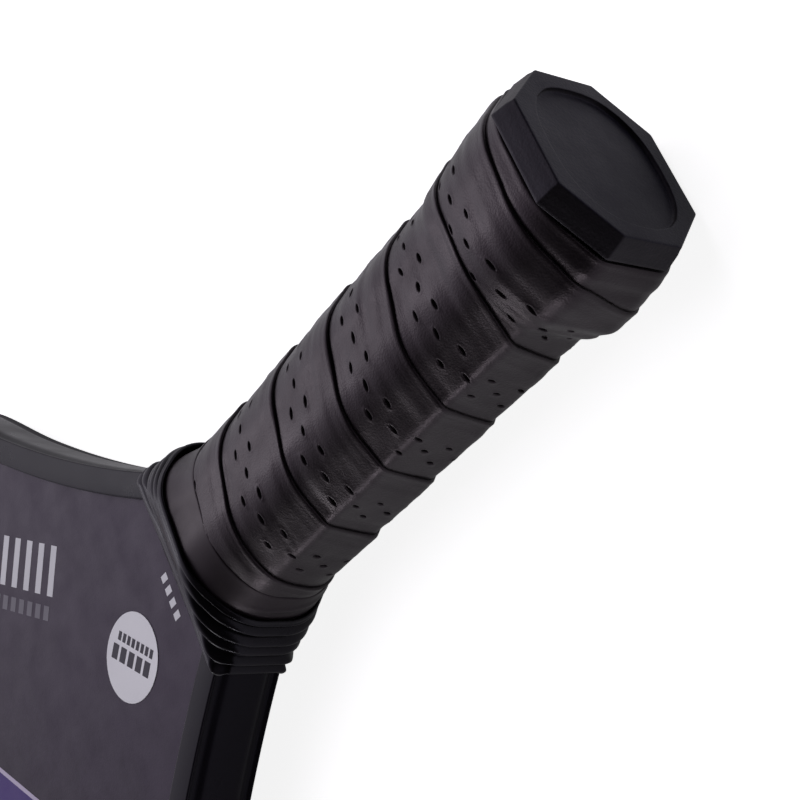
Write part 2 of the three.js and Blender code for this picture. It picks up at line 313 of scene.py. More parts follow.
# from the strip's surface down a slot's side, as (growth of the slot, height)
SLOT_SIDE = [(0.42, 0.0), (0.17, 0.05), (0.0, -0.05), (-0.12, -0.3), (-0.2, -0.75)]

# mesh steps
CELL_ALONG = 8  # in half a hole spacing
CELL_ACROSS = 5  # over a row of holes
TAIL_COLUMNS = 14  # from the last row of holes to the far edge
# the first columns, from the edge's curve to the flat
EDGE_COLUMNS = [0.65, 0.95, 1.15, 1.35, 1.55, 1.8, 2.1]


def lap_edge(turns):
    """Distance from the butt of the strip's leading edge, after this many turns."""
    if turns >= FREE_TURN:
        return FOURTH_TURN + PITCH * (turns - 4) + SLANT * wave(turns - SLANT_FROM)
    if turns <= SKIRT_PATH[0][0]:
        return WRAP_EDGE
    return curve_through(SKIRT_PATH, turns)


def strip_height(turns, across):
    """The strip's surface above the grip section, by distance from its leading edge."""
    width = max(LEAST_LAP, lap_edge(turns + 1) - lap_edge(turns))
    share = min(1.0, max(0.0, across / width))
    height = EDGE_LIFT - LAP_DROP * share ** LAP_CURVE - TUCK * smooth(width - 0.4, width - 0.1, across)
    height -= HIDDEN_SLOPE * max(0.0, across - width)
    height -= TAPED_DROP * smooth(TAPE_START - 0.7, TAPE_START + 1.3, lap_edge(turns))
    border = BORDER
    for amount, rate in BORDER_WAVES:
        border += amount * math.sin(turns * rate)
    height += (PAD_RISE * smooth(border - 0.6, border + 0.9, across)
               - CREASE_DEPTH * bump_at(across, CREASE_AT, CREASE_WIDTH))
    for depth, middle, wander, rate, spread in RIPPLES:
        line = middle + wander * math.sin(rate * turns * RIPPLE_WANDER + middle)
        strength = 0.5 + 0.5 * math.sin(turns * RIPPLE_FADE * rate + depth * RIPPLE_OFFSET)
        height -= depth * strength * bump_at(across, line, spread)
    for depth, (along_1, across_1), (along_2, across_2) in DENTS:
        first_wave = math.sin(turns * along_1 + across * across_1)
        height += depth * first_wave * math.sin(turns * along_2 + across * across_2)
    return height


def strip_columns():
    """Across positions of the strip's top, with whole steps over the holes' rows, and where those start."""
    step = (HOLE_ROWS[1] - HOLE_ROWS[0]) / CELL_ACROSS
    first = HOLE_ROWS[0] - step * CELL_ACROSS / 2
    edge = EDGE_COLUMNS[-1]
    lead = round((first - edge) / step)
    columns = EDGE_COLUMNS + [edge + (first - edge) * k / lead for k in range(1, lead + 1)]
    first_hole_column = len(columns) - 1
    columns += [first + step * k for k in range(1, len(HOLE_ROWS) * CELL_ACROSS + 1)]
    last = columns[-1]
    columns += [last + (STRIP_WIDTH - last) * k / TAIL_COLUMNS for k in range(1, TAIL_COLUMNS + 1)]
    return columns, first_hole_column


SCATTER_RATES = (12.9898, 78.233, 37.719)
SCATTER_SCALE = 43758.5453


def scatter(*numbers):
    """A fixed value in -1..1 for whole numbers that looks random."""
    seed = sum(n * k for n, k in zip(numbers, SCATTER_RATES))
    return 2 * ((math.sin(seed) * SCATTER_SCALE) % 1.0) - 1


def hole_loop(centre_along, centre_across, length, width, tilt, boundary):
    """A loop round a leaf-shaped hole, with a point facing each boundary point."""
    loop = []
    for along, across in boundary:
        angle = math.atan2((across - centre_across) / width, (along - centre_along) / length)
        c, s = math.cos(angle), math.sin(angle)
        step = length / 2 * c
        bulge = s * (HOLE_BLUNTNESS + (1 - HOLE_BLUNTNESS) * abs(s))
        loop.append((centre_along + step, centre_across + width / 2 * bulge + tilt * step))
    return loop


class WoundStrip:
    """The strip's points and faces: a grid along and across it, with the slots let into it."""

    def __init__(self):
        self.length = grip_section.length
        half_spacing = self.length / HOLES_PER_TURN / 2
        self.step = half_spacing / CELL_ALONG
        self.shift = HOLE_PHASE * self.length / HOLES_PER_TURN
        self.start = math.floor(STRIP_FROM * self.length / half_spacing) * CELL_ALONG
        self.stop = math.floor(STRIP_TO * self.length / half_spacing) * CELL_ALONG
        self.columns, self.first_hole_column = strip_columns()
        self.points = []
        self.faces = []
        self.grid = []

    def turns(self, along, across):
        return (along + self.shift - ROW_SKEW * (across - HOLE_ROWS[0])) / self.length

    def add(self, along, across, height):
        """A new point at a place on the flat strip, above the grip by height."""
        turns = self.turns(along, across)
        first = lap_edge(turns)
        cover = max(STRIP_WIDTH, lap_edge(turns + 1) - first + UNDERLAP)
        width = min(cover, STRIP_END - first)
        self.points.append(on_grip(turns, first + across * width / STRIP_WIDTH, height))
        return len(self.points) - 1

    def add_on_top(self, along, across, lift=0.0):
        return self.add(along, across, strip_height(self.turns(along, across), across) + lift)

    def lay_grid(self):
        for i in range(self.start, self.stop + 1):
            along = i * self.step
            row = [self.add(along, across, height) for across, height in STRIP_EDGE]
            row += [self.add_on_top(along, across) for across in self.columns]
            row.append(self.add(along, self.columns[-1], UNDERSIDE))
            self.grid.append(row)

    def hole_cells(self):
        """The first corner of each block of the grid that holds a slot: every other one in each row."""
        cells = []
        for i in range(0, self.stop - self.start, CELL_ALONG):
            number = (self.start + i) // CELL_ALONG
            for row in range(len(HOLE_ROWS)):
                if (number + row) % 2 == 0:
                    cells.append((i, len(STRIP_EDGE) + self.first_hole_column + row * CELL_ACROSS))
        return cells

    def fill_grid(self, cells):
        """Faces everywhere but over the slots, and across the strip's two ends."""
        block = [(p, q) for p in range(CELL_ALONG) for q in range(CELL_ACROSS)]
        left_out = {(i + p, j + q) for i, j in cells for p, q in block}
        wide = len(self.grid[0])
        for i, (row, after) in enumerate(zip(self.grid, self.grid[1:])):
            for j in range(wide):
                if (i, j) not in left_out:
                    k = (j + 1) % wide
                    self.faces.append((row[j], after[j], after[k], row[k]))
        self.faces += [tuple(self.grid[0]), tuple(self.grid[-1])]

    def cut_slot(self, i, j):
        """A slot with rounded lips inside the block of the grid that starts here."""
        border = [(i + p, j) for p in range(CELL_ALONG)]
        border += [(i + CELL_ALONG, j + q) for q in range(CELL_ACROSS)]
        border += [(i + CELL_ALONG - p, j + CELL_ACROSS) for p in range(CELL_ALONG)]
        border += [(i, j + CELL_ACROSS - q) for q in range(CELL_ACROSS)]
        top = len(STRIP_EDGE)
        flat = [((self.start + p) * self.step, self.columns[q - top]) for p, q in border]
        along = (self.start + i + CELL_ALONG / 2) * self.step + ALONG_SPREAD * scatter(i, j)
        across = (self.columns[j - top] + self.columns[j + CELL_ACROSS - top]) / 2
        across += ACROSS_SPREAD * scatter(j, i, 3)
        length = HOLE_LENGTH * (1 + LENGTH_SPREAD * scatter(i, j, 5))
        width = HOLE_WIDTH * (1 + WIDTH_SPREAD * scatter(i, j, 7))
        tilt = HOLE_TILT * scatter(i, j, 9)
        loops = [[self.grid[p][q] for p, q in border]]
        for growth, lift in SLOT_SIDE:
            loop = hole_loop(along, across, length + 2 * growth, width + 2 * growth, tilt, flat)
            loops.append([self.add_on_top(*spot, lift) for spot in loop])
        for outer, inner in zip(loops, loops[1:]):
            for p in range(len(outer)):
                q = (p + 1) % len(outer)
                self.faces.append((outer[p], outer[q], inner[q], inner[p]))
        self.faces.append(tuple(loops[-1]))


def grip_wrap_mesh():
    strip = WoundStrip()
    strip.lay_grid()
    cells = strip.hole_cells()
    strip.fill_grid(cells)
    for cell in cells:
        strip.cut_slot(*cell)
    return strip.points, strip.faces


# ------------------------------ butt cap

CAP = dict(a=18.0, b=16.74, f=8.94, s=6.87)
CAP_RIM = 4.8
CAP_FLARE, FLARE_CURVE = 0.95, 0.8  # the cap widens by this much towards its rim
CAP_CORNER = 0.7
RECESS_X, RECESS_Z, RECESS_DEPTH = 14.9, 13.5, 0.9
RECESS_POWER = 2.4  # 2 would be an ellipse, and more is squarer
# the recess from its middle over its lip, as (y, distance inside the oval)
RECESS_PROFILE = [(RECESS_DEPTH, 11.0), (RECESS_DEPTH, 7.0), (RECESS_DEPTH, 3.0), (RECESS_DEPTH, 1.0),
                  (RECESS_DEPTH, 0.45), (RECESS_DEPTH - 0.05, 0.22), (RECESS_DEPTH - 0.2, 0.08),
                  (0.2, 0.0), (0.03, -0.02), (0.0, -0.09), (0.0, -0.3)]
# the octagon over the end face's rounded edge, as (y, growth)
END_PROFILE = [(0.0, -0.75), (0.0, -0.4), (0.03, -0.22), (0.11, -0.08), (0.26, 0.0), (0.6, 0.05)]
FLARE_STATIONS = (1.5, 3.0, 4.2)
# over the rim, and down and up the skirt under the grip
SKIRT_PROFILE = [(4.6, 0.96), (4.74, 0.9), (CAP_RIM, 0.75), (CAP_RIM, -0.9), (6.0, -1.3), (22.0, -2.1),
                 (22.0, -2.5), (3.0, -2.6)]


def cap_ring(y, growth):
    radii = corner_radii(CAP_CORNER, CAP_CORNER)
    ring = rounded_outline(octagon_corners(**grown(CAP, growth)), radii, per_corner=4, per_flat=6)
    return [(x, y, z) for x, z, _, _ in ring]


def oval_ring(y, shrink):
    """A ring of the recess's oval, with its points facing the octagon ring's."""
    out = []
    for x, _, z in cap_ring(0, 0):
        angle = math.atan2(z / RECESS_Z, x / RECESS_X)
        c, s = math.cos(angle), math.sin(angle)
        reach = (abs(c) ** RECESS_POWER + abs(s) ** RECESS_POWER) ** (-1 / RECESS_POWER)
        out.append(((RECESS_X - shrink) * reach * c, y, (RECESS_Z - shrink) * reach * s))
    return out


def butt_cap_mesh():
    flare = [(y, CAP_FLARE * (y / CAP_RIM) ** FLARE_CURVE) for y in FLARE_STATIONS]
    rings = [oval_ring(y, shrink) for y, shrink in RECESS_PROFILE]
    rings += [cap_ring(y, growth) for y, growth in END_PROFILE + flare + SKIRT_PROFILE]
    return skin(rings, capped=True)


# ------------------------------ panel outline and edge guard

EDGE_STEPS = 48
GUARD_FROM = 121.6  # the guard starts inside the collar
GUARD_OUT = HALF_WIDTH - PANEL_HALF_WIDTH
LIP = 4.3  # how far the guard's lips reach over the faces
LIP_GAP = 0.12  # between a lip's underside and the face
BRIM = GUARD_OUT - 0.35  # the lip's sharp outer edge, above the groove


def bezier(p0, p1, p2, p3, steps):
    for k in range(steps):
        t = k / steps
        s = 1 - t
        weights = (s ** 3, 3 * s * s * t, 3 * s * t * t, t ** 3)
        yield tuple(sum(w * p[i] for w, p in zip(weights, (p0, p1, p2, p3))) for i in range(2))


def panel_side():
    """One side of the panel's edge, from where the guard starts to the crown."""
    w, top = PANEL_HALF_WIDTH, PANEL_TOP
    stretches = [
        ((12.5, 108), (12.5, 113), (15.8, 116.6), (19.1, 121.2), EDGE_STEPS // 4),
        ((19.1, 121.2), (32.3, 140), (47.8, 157.1), (64.6, 172.8), EDGE_STEPS),
        ((64.6, 172.8), (82, 189), (w, 196), (w, 222), EDGE_STEPS),
        ((w, 222), (w, 259), (w, 297), (w, 335), EDGE_STEPS // 2),
        ((w, 335), (w, 376), (76, top - 4), (48, top - 1.4), EDGE_STEPS),
        ((48, top - 1.4), (32, top), (16, top), (0, top), EDGE_STEPS // 2),
    ]
    return [p for *corners, count in stretches for p in bezier(*corners, count)]


def whole_edge():
    side = panel_side()
    return side + [(0.0, PANEL_TOP)] + [(-x, y) for x, y in reversed(side)]


def outward(path, i):
    p, q = path[max(0, i - 1)], path[min(len(path) - 1, i + 1)]
    d = Vector((q[0] - p[0], q[1] - p[1])).normalized()
    return d.y, -d.x


def guard_profile():
    """(outward from the panel's edge, z) round the channel: flat lips, the grooves beside them, the side."""
    top, under = GUARD_Z, FACE_Z + LIP_GAP
    inside = [(0.2, 0.0), (0.2, under - 0.15), (0.1, under), (-LIP + 0.8, under + 0.02)]
    lip = [(-LIP + 0.45, under + 0.6), (-LIP, under + 0.66), (-LIP, top - 0.24), (-LIP + 0.05, top - 0.12),
           (-LIP + 0.2, top - 0.03), (-LIP + 0.45, top), (-2.0, top), (BRIM - 0.35, top),
           (BRIM - 0.14, top - 0.03), (BRIM - 0.03, top - 0.12), (BRIM, top - 0.26)]
    groove = [(BRIM - 0.12, top - 0.5), (BRIM - 0.45, top - 0.95), (BRIM - 0.6, top - 1.5),
              (BRIM - 0.52, top - 2.1), (BRIM - 0.25, top - 2.7), (BRIM + 0.1, top - 3.3)]
    side = [(GUARD_OUT - 0.08, top - 3.9), (GUARD_OUT, top - 4.7), (GUARD_OUT, 0.0)]
    upper = inside + lip + groove + side
    return upper + [(n, -z) for n, z in reversed(upper[1:-1])]


def edge_guard_mesh():
    path = [p for p in whole_edge() if p[1] > GUARD_FROM]
    profile = guard_profile()
    rings = []
    for i, (x, y) in enumerate(path):
        nx, ny = outward(path, i)
        rings.append([(x + nx * n, y + ny * n, z) for n, z in profile])
    return skin(rings, capped=True)


# ------------------------------ rubber collar

COLLAR_RIM = 112.5  # where the grip goes into the collar
RIM_DIP = 1.1  # the rim is this much nearer the butt on the +X side
COLLAR_FRONT_END = 127.3
COLLAR_SIDE_END = 125.0
COLLAR_SKEW = 0.07  # the collar sits a little crooked
COLLAR_RINGS = 5
RING_DEPTH, RING_FADE = 1.25, 0.2  # at the rim, and how much less it is at the face
FACE_CALM = 0.65  # share of the rings' depth that is lost across the middle of each face
RING_SAG = 0.4  # crests lean towards the face by this share of their height
COLLAR_STEPS = 100
RUBBER = 1.1  # thickness
LEAST_CORNER = 0.25
THIN_LIP = 0.07  # share of the collar's length that is the lip before the first ring
LIP_HEIGHT = 0.6
# Octagon sizes, corner radii and sideways shift, each by share of the way from the rim to the face.
COLLAR_ACROSS = [(0, 20.9), (0.2, 21.6), (0.5, 23.0), (0.8, 24.2), (1, 24.9)]
COLLAR_TOP_FLAT = [(0, 10.6), (0.2, 11.6), (0.5, 16.0), (0.8, 21.0), (1, 23.6)]
COLLAR_SIDE_FLAT = [(0, 8.6), (0.3, 8.6), (0.6, 8.2), (0.85, 7.6), (1, 7.0)]
COLLAR_TOP_CORNER = [(0, 14), (0.25, 13), (0.55, 8.5), (0.8, 3.0), (1, 1.4)]
COLLAR_SIDE_CORNER = [(0, 13), (0.25, 12), (0.55, 8.5), (0.8, 4.0), (1, 1.4)]
COLLAR_SHIFT = [(0, 0.7), (0.6, 0.1), (1, 0)]
COLLAR_TOP = 17.6  # half its height at the rim
RIM_ROLL = 0.4
COLLAR_FALL, FALL_CURVE = 9.0, 0.9  # from the grip's height down to the panel's
# the inside from the face to the rim, then over the rim, as (share of the length, distance inside)
COLLAR_LINING = [(0.9, RUBBER), (0.6, RUBBER), (0.3, RUBBER), (0.12, RUBBER), (0.03, RUBBER),
                 (0.0, 0.95), (-0.035, 0.75), (-0.05, 0.4), (-0.03, 0.1)]
COLLAR_HEM = [(1.01, 0.5), (1.005, 0.85)]


def collar_height(t):
    """Half the collar's height at t."""
    return COLLAR_TOP - RIM_ROLL * smooth(0, 0.1, t) - COLLAR_FALL * smooth(0.02, 1.06, t) ** FALL_CURVE


def collar_section(t):
    """The collar's outline from its rim (0) to the face (1): octagon sizes, corner radii, sideways shift."""
    size = dict(
        a=through(COLLAR_ACROSS, t),
        b=collar_height(t),
        f=through(COLLAR_TOP_FLAT, t),
        s=through(COLLAR_SIDE_FLAT, t),
    )
    radii = corner_radii(through(COLLAR_TOP_CORNER, t), through(COLLAR_SIDE_CORNER, t))
    return size, radii, through(COLLAR_SHIFT, t)


def ring_crest(t):
    """How far the ringed outside stands out at t: 0 in a groove, 1 on a crest."""
    if t < THIN_LIP:
        return LIP_HEIGHT * math.sqrt(max(0.0, math.sin(math.pi * t / THIN_LIP)))
    phase = (t - THIN_LIP) / (1 - THIN_LIP) * COLLAR_RINGS
    return abs(math.sin(math.pi * phase))


def collar_ring(t, inset, depth=0.0):
    """One ring of the collar's skin, moved in by inset, with the moulded rings standing depth out."""
    size, radii, shift = collar_section(t)
    radii = [max(LEAST_CORNER, radius - inset) for radius in radii]
    corners = octagon_corners(**grown(size, -inset))
    ring = []
    for x, z, nx, nz in rounded_outline(corners, radii, per_corner=9, per_flat=12):
        front = smooth(0.3, 0.97, abs(nz))
        rim = COLLAR_RIM - RIM_DIP * smooth(7, 20, x)
        end = COLLAR_SIDE_END + (COLLAR_FRONT_END - COLLAR_SIDE_END) * front
        y = rim + (end + COLLAR_SKEW * x - rim) * t
        calm = 1 - FACE_CALM * front * smooth(17, 8, abs(x + 1))
        out = depth * calm * (ring_crest(t) - 0.5)
        ring.append((x + shift + nx * out, y + RING_SAG * front * t * out, z + nz * out))
    return ring


def collar_mesh():
    rings = [collar_ring(t, inset) for t, inset in COLLAR_LINING]
    for k in range(1, COLLAR_STEPS + 1):
        t = k / COLLAR_STEPS
        rings.append(collar_ring(t, 0.0, RING_DEPTH - RING_FADE * t))
    rings += [collar_ring(t, inset) for t, inset in COLLAR_HEM]
    return skin(rings + rings[:1])


# ------------------------------ finishing tape

TAPE_END = 115.5
TAPE_POINTS, TAPE_STEPS = 220, 26
TAPE_SLANT, TAPE_SLANT_FROM = 2.1, 0.06  # its edge runs with the strip's last turn
TAPE_HEIGHT = -0.03
TAPE_EDGE = [(0.0, -0.9), (0.0, -0.2), (0.004, -0.07)]  # (share of its width, height)
TUCK_IN = 0.93  # the hidden edge turns in towards the handle
FOLD_AT, FOLD_WANDER, FOLD_RATE = 109.6, 0.8, 13
FOLD_HEIGHT, FOLD_WIDTH = 0.22, 0.55
FLARE_FROM, FLARE_TO = 104.5, 112.5
FLARE_ALL, FLARE_SIDE, FLARE_CORNER = 0.2, 0.9, 0.4


def throat_flare(normal_x, normal_z, y):
    """The grip widens where the handle meets the head, most of all on its upper +X corner."""
    corner = 4 * max(0.0, normal_x * normal_z) if normal_x > 0 else 0.0
    amount = FLARE_ALL + FLARE_SIDE * smooth(0.2, 0.9, abs(normal_x)) + FLARE_CORNER * corner
    return amount * smooth(FLARE_FROM, FLARE_TO, y)


def tape_fold(turn, y):
    """A fold on the -X side, where the tape is pulled into the collar."""
    line = FOLD_AT + FOLD_WANDER * math.sin(turn * FOLD_RATE)
    return FOLD_HEIGHT * bump_at(y, line, FOLD_WIDTH) * smooth(0.16, 0.24, turn) * smooth(0.6, 0.5, turn)


def finishing_tape_mesh():
    stations = TAPE_EDGE + [(k / TAPE_STEPS, TAPE_HEIGHT) for k in range(1, TAPE_STEPS + 1)]
    rings = []
    for position, lift in stations:
        ring = []
        for i in range(TAPE_POINTS):
            turn = i / TAPE_POINTS
            first = TAPE_START + TAPE_SLANT * wave(turn - TAPE_SLANT_FROM)
            y = first + (TAPE_END - first) * position
            _, _, nx, nz = soft_section.point(turn)
            fold = tape_fold(turn, y) * smooth(0, 0.2, position)
            ring.append(on_grip(turn, y, lift + throat_flare(nx, nz, y) + fold))
        rings.append(ring)
    rings.append([(x * TUCK_IN, y, z * TUCK_IN) for x, y, z in rings[-1]])
    return skin(rings + rings[:1])


# ------------------------------ prints on the faces

INK_HEIGHT = 0.03  # above the surface it is printed on
BAND_HEIGHT = 0.02
BAND_POINT = (-5.9, 203.7)
BAND_NORMAL = (-0.637, 0.771)
BAND_SPAN = (1.0, 24.0, 25.2)  # from its first edge line: the purple's start and end, and the last line
BAND_NARROWING = 0.985  # keeps its ends on the panel, under the guard
# Rows of plain blocks in place of lettering; share is how much of each step is inked.
THROAT_MARKS = dict(start=(3.6, 131.6), end=(-8.0, 131.6), height=2.0, count=4, share=0.56)
WIDE_BARS = dict(start=(24.7, 165.7), end=(54.2, 202.2), height=11.2, count=9, share=0.45)
SMALL_BARS = dict(start=(18.4, 172.9), end=(45.6, 206.5), height=3.2, count=12, share=0.6)
STICKER_BLOCKS = dict(start=(-0.5, 155.2), end=(-11.7, 145.2), height=3.2, count=5, share=0.7)
STICKER_TICKS = dict(start=(0.9, 151.7), end=(-9.4, 142.6), height=1.9, count=8, share=0.65)


def flat_print(name, outline, material, slot, height, side=1):
    """A printed patch just above a face sheet, from its outline in (x, y)."""
    z = side * (FACE_Z + height)
    under = side * (FACE_Z + height / 2)
    count = len(outline)
    points = [(x, y, z) for x, y in outline] + [(x, y, under) for x, y in outline]
    faces = [tuple(range(count)), tuple(range(count, 2 * count))[::-1]]
    faces += [(i, (i + 1) % count, count + (i + 1) % count, count + i) for i in range(count)]
    piece = make_piece(name, points, faces, material, slot)
    sharpen(piece, 30)


def slanted_box(centre, along, half_long, half_wide):
    reach = along * half_long
    side = Vector((-along.y, along.x)) * half_wide
    return [tuple(centre - reach - side), tuple(centre + reach - side),
            tuple(centre + reach + side), tuple(centre - reach + side)]


def print_row(name, row, material, slot, height=INK_HEIGHT):
    """Evenly spaced blocks along a row."""
    start, end = Vector(row["start"]), Vector(row["end"])
    along = (end - start).normalized()
    across = Vector((-along.y, along.x))
    pitch = (end - start).length / row["count"]
    for k in range(row["count"]):
        centre = start + along * pitch * (k + 0.5)
        block = slanted_box(centre, across, row["height"] / 2, pitch * row["share"] / 2)
        flat_print(f"{name}_{k + 1}", block, material, slot, height)


def keep_side(outline, point, normal):
    """The part of an outline on the normal's side of a line."""
    out = []
    for p, q in zip(outline, outline[1:] + outline[:1]):
        dp = (p[0] - point[0]) * normal[0] + (p[1] - point[1]) * normal[1]
        dq = (q[0] - point[0]) * normal[0] + (q[1] - point[1]) * normal[1]
        if dp >= 0:
            out.append(p)
        if dp * dq < 0:
            t = dp / (dp - dq)
            out.append((p[0] + (q[0] - p[0]) * t, p[1] + (q[1] - p[1]) * t))
    return out


def band_outline(near, far):
    """The slice of the face between two distances from the band's first edge."""
    x, y = BAND_POINT
    nx, ny = BAND_NORMAL
    beyond_near = keep_side(whole_edge(), (x + nx * near, y + ny * near), (nx, ny))
    both = keep_side(beyond_near, (x + nx * far, y + ny * far), (-nx, -ny))
    return [(px * BAND_NARROWING, py) for px, py in both]


# ------------------------------ node materials

CLOUD_LOW, CLOUD_HIGH = 0.3, 0.7  # most of a noise's values lie between these
BUMP_DISTANCE = 0.0002

WRAP_BLACK = (0.0068, 0.0048, 0.0061)
CAP_SIDE = (0.0068, 0.0056, 0.0062)
# painted shade: the end face's colour, darker and bluer than the sides'
CAP_END_PAINTED_SHADE = (0.003, 0.0026, 0.0084)
TAPE_BLACK = (0.0092, 0.0066, 0.0084)
RUBBER_BLACK = (0.0044, 0.0036, 0.0046)
GUARD_BLACK = (0.0068, 0.0056, 0.0086)
FACE_PLUM = (0.023, 0.015, 0.031)
WARM_SHEEN = (1.0, 0.82, 0.96, 1)
COOL_SHEEN = (0.84, 0.77, 1.0, 1)
FACE_SHEEN = (0.88, 0.74, 1.0, 1)
INK_SHEEN = (0.9, 0.82, 1.0, 1)
PLASTIC_PATCH = 0.12  # a plastic's patches are this share lighter and darker
FACE_PAINTED_SHADE_FROM = -0.035  # metres before the band, where the painted shade on the face starts
# how much the painted shade darkens the face at the band
FACE_PAINTED_SHADE = -0.55
FACE_TONES = [(0.2, 0.55), (0.55, 0.95), (0.85, 1.15)]


class Nodes:
    """A few words for building a node tree."""

    def __init__(self, name):
        self.material = bpy.data.materials.new(name)
        self.material.use_nodes = True
        self.tree = self.material.node_tree
        self.shader = self.tree.nodes["Principled BSDF"]
        coordinates = self.tree.nodes.new("ShaderNodeTexCoord")
        self.place = coordinates.outputs["Object"]
        self.normal = coordinates.outputs["Normal"]

    def node(self, kind, **settings):
        made = self.tree.nodes.new(kind)
        for key, value in settings.items():
            if key in made.inputs:
                made.inputs[key].default_value = value
            else:
                setattr(made, key, value)
        return made

    def link(self, output, socket):
        self.tree.links.new(output, socket)

    def noise(self, scale, detail, roughness=0.5):
        made = self.node("ShaderNodeTexNoise", Scale=scale, Detail=detail, Roughness=roughness)
        self.link(self.place, made.inputs["Vector"])
        return made.outputs["Fac"]

    def cells(self, scale):
        made = self.node("ShaderNodeTexVoronoi", Scale=scale)
        self.link(self.place, made.inputs["Vector"])
        return made.outputs["Distance"]

    def span(self, value, low, high, to_low, to_high):
        made = self.node("ShaderNodeMapRange")
        for key, number in (("From Min", low), ("From Max", high), ("To Min", to_low), ("To Max", to_high)):
            made.inputs[key].default_value = number
        self.link(value, made.inputs["Value"])
        return made.outputs["Result"]

    def sum(self, first, second, weight=1.0):
        made = self.node("ShaderNodeMath", operation="MULTIPLY_ADD")
        self.link(second, made.inputs[0])
        made.inputs[1].default_value = weight
        self.link(first, made.inputs[2])
        return made.outputs[0]

    def along(self, vector, direction):
        """How far a vector output reaches in a direction."""
        made = self.node("ShaderNodeVectorMath", operation="DOT_PRODUCT")
        self.link(vector, made.inputs[0])
        made.inputs[1].default_value = direction
        return made.outputs["Value"]

    def paint(self, value, stops):
        """The base colour from a value, by (position, colour) stops."""
        made = self.node("ShaderNodeValToRGB")
        elements = made.color_ramp.elements
        while len(elements) < len(stops):
            elements.new(0.5)
        for element, (position, colour) in zip(elements, stops):
            element.position = position
            element.color = (*colour, 1)
        self.link(value, made.inputs["Fac"])
        self.link(made.outputs["Color"], self.shader.inputs["Base Color"])

    def roughen(self, scale, detail, low, high):
        """Roughness that wanders between two values."""
        wandering = self.span(self.noise(scale, detail), CLOUD_LOW, CLOUD_HIGH, low, high)
        self.link(wandering, self.shader.inputs["Roughness"])

    def bump(self, height, strength, distance=BUMP_DISTANCE):
        made = self.node("ShaderNodeBump", Strength=strength, Distance=distance)
        self.link(height, made.inputs["Height"])
        self.link(made.outputs["Normal"], self.shader.inputs["Normal"])

    def set(self, **values):
        for key, value in values.items():
            self.shader.inputs[key.replace("_", " ")].default_value = value


def tinted(colour, factor):
    return tuple(c * factor for c in colour)


def wrap_material():
    """Matt black PU: fine leather grain, faint cloudiness and a soft sheen."""
    m = Nodes("wrap_pu")
    m.paint(m.noise(60, 5), [(CLOUD_LOW, tinted(WRAP_BLACK, 0.8)), (CLOUD_HIGH, tinted(WRAP_BLACK, 1.25))])
    m.roughen(140, 4, 0.33, 0.45)
    grain = m.sum(m.cells(2600), m.noise(1500, 3), 0.8)
    m.bump(m.sum(grain, m.noise(260, 3), 0.2), 0.1, distance=0.0003)
    m.set(Specular_IOR_Level=0.32, Specular_Tint=WARM_SHEEN, Sheen_Weight=0.06, Sheen_Roughness=0.4)
    return m.material


def plastic_material(name, colour, rough, grain_scale, grain, gloss=0.5, tint=(1, 1, 1)):
    """Moulded plastic, rubber or film: faint patches and a fine grain."""
    m = Nodes(name)
    m.set(Specular_IOR_Level=gloss, Specular_Tint=(*tint, 1))
    dark, light = tinted(colour, 1 - PLASTIC_PATCH), tinted(colour, 1 + PLASTIC_PATCH)
    m.paint(m.noise(45, 4), [(CLOUD_LOW, dark), (CLOUD_HIGH, light)])
    m.roughen(110, 5, rough - 0.05, rough + 0.06)
    m.bump(m.sum(m.noise(grain_scale, 3, 0.6), m.noise(grain_scale / 7, 2), 0.5), grain)
    return m.material


def cap_material():
    """Moulded plastic, finely grained: its end face is painted darker and bluer than its sides by the way it
    faces, as painted shade.
    """
    m = Nodes("cap_plastic")
    # painted shade: surfaces facing out of the butt end are coloured darker and bluer
    end_painted_shade = m.span(m.along(m.normal, (0, -1, 0)), 0.4, 0.9, 0.1, 0.9)
    m.paint(m.sum(end_painted_shade, m.noise(45, 4), 0.1), [(0.2, CAP_SIDE), (0.8, CAP_END_PAINTED_SHADE)])
    m.roughen(110, 5, 0.42, 0.52)
    m.bump(m.sum(m.noise(1800, 3, 0.6), m.noise(260, 2), 0.5), 0.35)
    m.set(Specular_IOR_Level=0.24, Specular_Tint=COOL_SHEEN)
    return m.material


def face_material(sheet):
    """Printed laminate: plum-grey ink with a fine mottle and a slight tooth, and painted shade darkening it
    towards the band.
    """
    m = Nodes("face_print_plum")
    to_sheet = sheet.matrix_world.inverted()
    from_band = m.node("ShaderNodeVectorMath", operation="SUBTRACT")
    m.link(m.place, from_band.inputs[0])
    from_band.inputs[1].default_value = to_sheet @ place(*BAND_POINT, FACE_Z)
    towards_band = to_sheet.to_3x3() @ Vector((*BAND_NORMAL, 0)).normalized()
    distance = m.along(from_band.outputs[0], towards_band)
    # painted shade: the face's colour gets darker towards the band
    painted_shade = m.span(distance, FACE_PAINTED_SHADE_FROM, 0.0, 0.0, FACE_PAINTED_SHADE)
    mottle = m.sum(m.sum(m.noise(900, 4, 0.65), m.noise(70, 3), 0.9), painted_shade)
    stops = [(position, tinted(FACE_PLUM, factor)) for position, factor in FACE_TONES]
    m.paint(m.span(mottle, 0.0, 1.4, 0.0, 1.0), stops)
    m.roughen(160, 4, 0.4, 0.5)
    m.bump(m.sum(m.noise(2200, 3), m.noise(480, 2), 0.6), 0.12)
    m.set(Specular_IOR_Level=0.2, Specular_Tint=FACE_SHEEN)
    return m.material


def ink_material(name, colour, other=None, scale=30):
    """Printing ink: its colour drifts a little, towards the other colour where there is one."""
    m = Nodes(name)
    m.paint(m.noise(scale, 5), [(0.35, colour), (0.65, other or tinted(colour, 0.9))])
    m.roughen(150, 4, 0.4, 0.5)
    m.bump(m.noise(2000, 3), 0.08)
    m.set(Specular_IOR_Level=0.18, Specular_Tint=INK_SHEEN)
    return m.material


